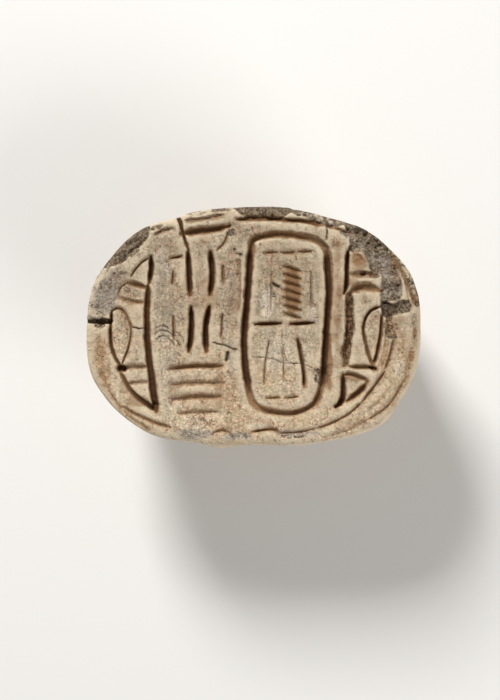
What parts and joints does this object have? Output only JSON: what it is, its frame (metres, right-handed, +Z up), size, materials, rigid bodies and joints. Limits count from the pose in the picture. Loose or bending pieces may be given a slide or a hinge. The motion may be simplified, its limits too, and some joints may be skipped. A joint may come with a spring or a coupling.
{
  "type": "scarab amulet",
  "caption": "Carved steatite scarab amulet lying on its back, its worn oval base engraved with an upright frame, end ornaments and rows of plain strokes.",
  "frame": {"origin": "middle of the overall box's bottom, on the small rubbed flat at the crown of the beetle's back, where the amulet rests", "axes": "+X along the amulet from the head to the tail, +Y across it towards the upper edge of the engraved face as pictured, +Z up out of the engraved base"},
  "size_m": [0.018, 0.013, 0.0076],
  "materials": {
    "steatite": "worn, matt, with brown dirt in the cuts"
  },
  "bodies": {
    "root": {"scarab": "steatite"}
  },
  "joints": []
}
